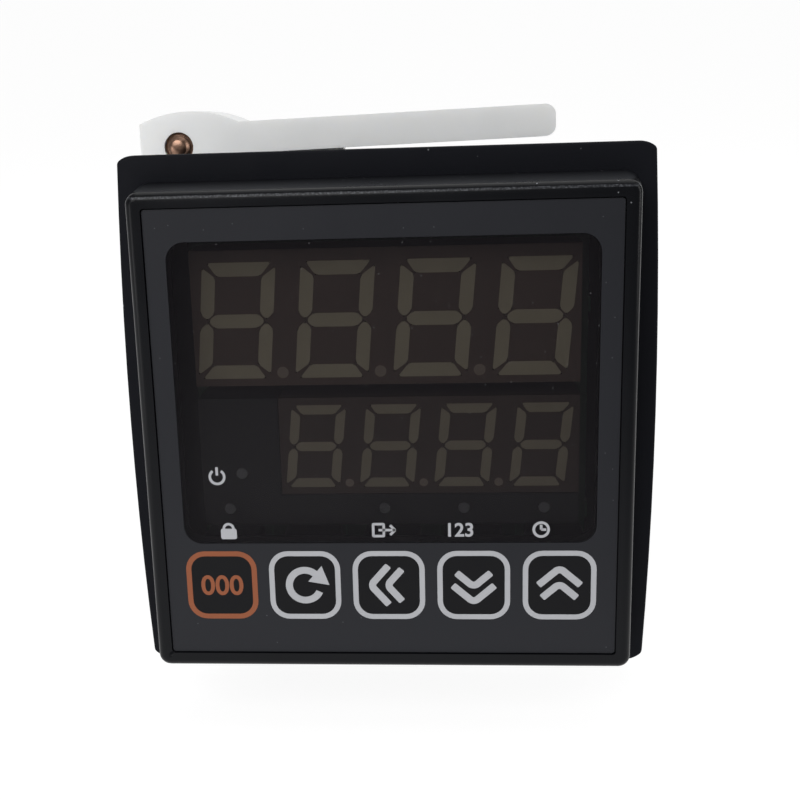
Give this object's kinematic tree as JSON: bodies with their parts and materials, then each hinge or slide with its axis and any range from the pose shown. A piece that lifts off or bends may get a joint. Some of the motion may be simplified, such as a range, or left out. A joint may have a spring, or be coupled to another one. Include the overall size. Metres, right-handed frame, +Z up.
{
  "type": "panel counter",
  "caption": "Square panel-mounted digital counter with two LED displays behind a smoked window, a row of film keys, screw terminals at the back and a ratchet clamp frame with jack screws.",
  "frame": {"origin": "middle of the plane where the back of the seal meets the panel", "axes": "+Y from the front of the counter into the panel, +Z up the front, +X to the right seen from the front"},
  "size_m": [0.0532, 0.072, 0.0624],
  "materials": {
    "black_abs": "moulded, fine satin",
    "black_phenolic": "moulded, matt",
    "grey_film": "printed polyester, fine satin",
    "smoked_acrylic": "clear, smoked",
    "seal_rubber": "dull",
    "white_nylon": "moulded, satin",
    "brass_screw": "turned",
    "display_resin": "moulded, matt",
    "segment_resin": "cast, milky",
    "lamp_resin": "cast, milky",
    "key_plastic": "moulded",
    "switch_plastic": "moulded",
    "circuit_board": "solder mask",
    "chip_epoxy": "moulded",
    "plated_steel": "nickel plated",
    "core_steel": "stacked sheets",
    "winding": "enamelled copper wire under tape",
    "relay_case": "moulded",
    "capacitor_sleeve": "shrunk sleeve",
    "contact_brass": "stamped"
  },
  "bodies": {
    "instrument": {"front_bezel": "black_abs", "overlay_film": "grey_film", "display_filter": "smoked_acrylic", "panel_gasket": "seal_rubber", "case": "black_abs", "terminal_block": "black_phenolic", "count_display": "display_resin", "count_segments": "segment_resin", "preset_display": "display_resin", "preset_segments": "segment_resin", "lamp_holder": "switch_plastic", "indicator_lamps": "lamp_resin", "switch_bodies": "switch_plastic", "display_board": "circuit_board", "main_board": "circuit_board", "power_board": "circuit_board", "tail_board": "circuit_board", "board_headers": "switch_plastic", "processor": "chip_epoxy", "driver_chips": "chip_epoxy", "crystal": "plated_steel", "transformer_core": "core_steel", "transformer_coil": "winding", "output_relay": "relay_case", "smoothing_capacitors": "capacitor_sleeve", "surge_absorber": "relay_case", "terminal_contacts": "contact_brass", "terminal_washers": "plated_steel", "terminal_screws": "plated_steel"},
    "clamp": {"clamp_frame": "white_nylon"},
    "upper_screw": {"upper_jack_screw": "brass_screw"},
    "lower_screw": {"lower_jack_screw": "brass_screw"},
    "reset": {"reset_key": "key_plastic", "reset_button": "switch_plastic"},
    "mode": {"mode_key": "key_plastic", "mode_button": "switch_plastic"},
    "shift": {"shift_key": "key_plastic", "shift_button": "switch_plastic"},
    "down": {"down_key": "key_plastic", "down_button": "switch_plastic"},
    "up": {"up_key": "key_plastic", "up_button": "switch_plastic"}
  },
  "joints": [
    {"name": "reset_press", "type": "slide", "parent": "instrument", "child": "reset", "axis": [0, 1, 0], "range_m": [0, 0.0003], "stiffness_N_per_m": 5000},
    {"name": "mode_press", "type": "slide", "parent": "instrument", "child": "mode", "axis": [0, 1, 0], "range_m": [0, 0.0003], "stiffness_N_per_m": 5000},
    {"name": "shift_press", "type": "slide", "parent": "instrument", "child": "shift", "axis": [0, 1, 0], "range_m": [0, 0.0003], "stiffness_N_per_m": 5000},
    {"name": "down_press", "type": "slide", "parent": "instrument", "child": "down", "axis": [0, 1, 0], "range_m": [0, 0.0003], "stiffness_N_per_m": 5000},
    {"name": "up_press", "type": "slide", "parent": "instrument", "child": "up", "axis": [0, 1, 0], "range_m": [0, 0.0003], "stiffness_N_per_m": 5000},
    {"name": "clamp_slide", "type": "slide", "parent": "instrument", "child": "clamp", "axis": [0, 1, 0], "range_m": [-0.006, 0.04]},
    {"name": "upper_screw_feed", "type": "slide", "parent": "clamp", "child": "upper_screw", "axis": [0, 1, 0], "range_m": [-0.003, 0.004]},
    {"name": "lower_screw_feed", "type": "slide", "parent": "clamp", "child": "lower_screw", "axis": [0, 1, 0], "range_m": [-0.003, 0.004]}
  ]
}
